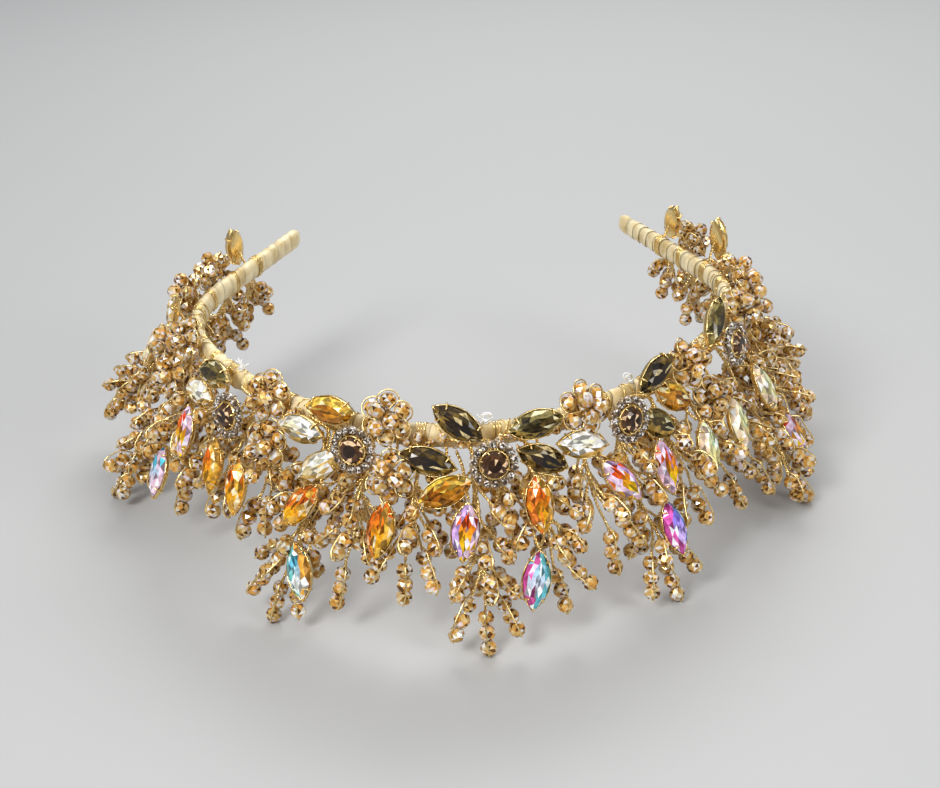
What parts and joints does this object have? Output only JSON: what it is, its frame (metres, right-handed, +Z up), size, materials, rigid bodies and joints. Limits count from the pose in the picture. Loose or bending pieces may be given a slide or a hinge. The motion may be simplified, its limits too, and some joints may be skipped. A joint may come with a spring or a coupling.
{
  "type": "bridal tiara",
  "caption": "Wrapped head band carrying jewelled flowers, marquise crystal drops and wired sprays of small faceted beads, worn over the hair at a wedding.",
  "frame": {"origin": "centre of the tiara's outline on the plane of the table that it stands on, at its bead tips", "axes": "+Z up from the table; -Y is the front of the tiara, over the forehead; +X is to the right when it is seen from the front"},
  "size_m": [0.2044, 0.1524, 0.0614],
  "materials": {
    "spring_steel": "bare spring strip",
    "satin_ribbon": "champagne satin ribbon, wound tight",
    "nylon_thread": "clear nylon thread",
    "gold_wire": "bright gold-plated craft wire",
    "gold_setting": "polished gold-plated claw setting",
    "halo_crystal": "tiny foil-backed chatons",
    "smoky_topaz": "foil-backed round stone",
    "smoky_crystal": "foil-backed, faceted",
    "olive_crystal": "foil-backed, faceted",
    "champagne_crystal": "foil-backed, faceted",
    "amber_crystal": "foil-backed, faceted",
    "violet_aurora_crystal": "faceted with a rainbow coating",
    "aqua_aurora_crystal": "faceted with a rainbow coating",
    "pale_crystal": "faceted with a rainbow coating",
    "champagne_bead": "faceted crystal bead with a lustre coating"
  },
  "bodies": {
    "root": {"band_core": "spring_steel", "band_wrap": "satin_ribbon", "band_tips": "satin_ribbon", "binding_wire": "gold_wire", "thread_knots": "nylon_thread", "flower_cups": "gold_setting", "flower_halo_crystals": "halo_crystal", "flower_centre_stones": "smoky_topaz", "petal_settings": "gold_setting", "petals_smoky": "smoky_crystal", "petals_olive": "olive_crystal", "petals_champagne": "champagne_crystal", "petals_amber": "amber_crystal", "petal_wires": "gold_wire", "drop_settings": "gold_setting", "drops_amber": "amber_crystal", "drops_violet": "violet_aurora_crystal", "drops_aqua": "aqua_aurora_crystal", "drops_pale": "pale_crystal", "drop_wires": "gold_wire", "wound_beads": "champagne_bead", "cluster_beads_top": "champagne_bead", "cluster_beads_low": "champagne_bead", "cluster_wires_top": "gold_wire", "cluster_wires_low": "gold_wire", "spray_wires_front": "gold_wire", "spray_beads_front": "champagne_bead", "spray_wires_front_left": "gold_wire", "spray_beads_front_left": "champagne_bead", "spray_wires_front_right": "gold_wire", "spray_beads_front_right": "champagne_bead", "spray_wires_side_left": "gold_wire", "spray_beads_side_left": "champagne_bead", "spray_wires_side_right": "gold_wire", "spray_beads_side_right": "champagne_bead", "spray_wires_rear_left": "gold_wire", "spray_beads_rear_left": "champagne_bead", "spray_wires_rear_right": "gold_wire", "spray_beads_rear_right": "champagne_bead"}
  },
  "joints": []
}
